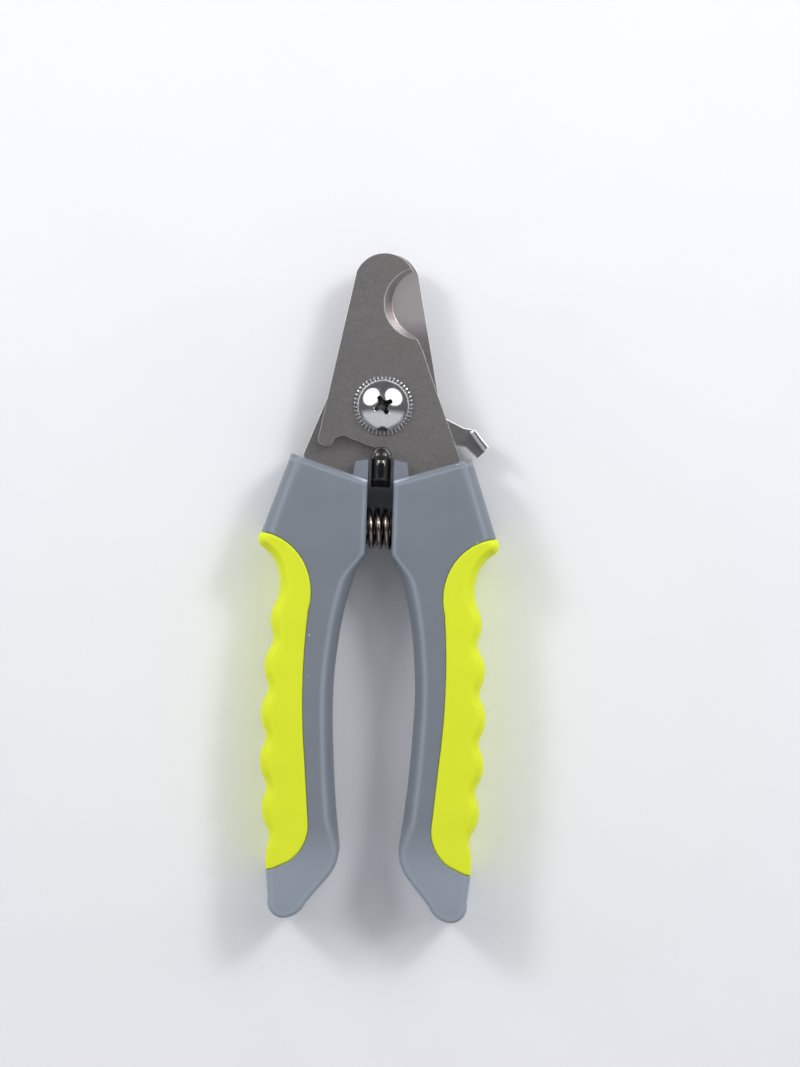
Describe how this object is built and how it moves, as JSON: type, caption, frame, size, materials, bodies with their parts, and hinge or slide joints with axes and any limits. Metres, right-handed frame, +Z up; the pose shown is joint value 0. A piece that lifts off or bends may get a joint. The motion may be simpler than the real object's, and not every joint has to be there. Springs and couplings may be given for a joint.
{
  "type": "scissor nail clipper",
  "caption": "Scissor nail clipper for pets with notched steel jaws, a thumb guard, sliding lock catch, coil return spring and soft two-tone handles.",
  "frame": {"origin": "middle of the footprint of the closed clipper, on the surface it lies on", "axes": "+Z up through the front face and along the pivot screw, +Y along the clipper towards the jaw tips, +X to the right across the handles"},
  "size_m": [0.0524, 0.145, 0.016],
  "materials": {
    "blade_steel": "satin ground stainless steel",
    "core_plastic": "moulded hard plastic, light grey",
    "cover_grey": "soft-touch moulded elastomer, blue grey",
    "grip_green": "matt elastomer, yellow green",
    "bright_chrome": "polished chrome plate",
    "plated_steel": "zinc plated steel",
    "guard_steel": "bright stamped sheet steel",
    "spring_black": "black coated spring wire",
    "catch_black": "glossy moulded plastic"
  },
  "bodies": {
    "front_half": {"front_blade": "blade_steel", "right_handle_core": "core_plastic", "right_handle_cover": "cover_grey", "right_grip": "grip_green", "pivot_screw": "bright_chrome", "toothed_washer": "plated_steel", "spring_washer": "plated_steel", "flat_washer": "plated_steel", "pivot_nut": "plated_steel", "return_spring": "spring_black"},
    "rear_half": {"rear_blade": "blade_steel", "left_handle_core": "core_plastic", "left_handle_cover": "cover_grey", "left_grip": "grip_green"},
    "guard": {"guard_plate": "guard_steel"},
    "catch": {"lock_catch": "catch_black"}
  },
  "joints": [
    {"name": "handle_hinge", "type": "hinge", "parent": "front_half", "child": "rear_half", "pos_m": [0, 0.0393, 0.008], "axis": [0, 0, -1], "range_deg": [0, 25], "stiffness_Nm_per_rad": 1, "springref_deg": 28.65, "deforming": ["return_spring"]},
    {"name": "guard_swing", "type": "hinge", "parent": "front_half", "child": "guard", "pos_m": [0, 0.0393, 0.005], "axis": [0, 0, 1], "range_deg": [0, 50]},
    {"name": "catch_slide", "type": "slide", "parent": "front_half", "child": "catch", "axis": [0, -1, 0], "range_m": [0, 0.0052]}
  ],
  "couplings": [
    {"joint": "catch_slide", "follows": "handle_hinge", "m_per_rad": 0.0117}
  ]
}
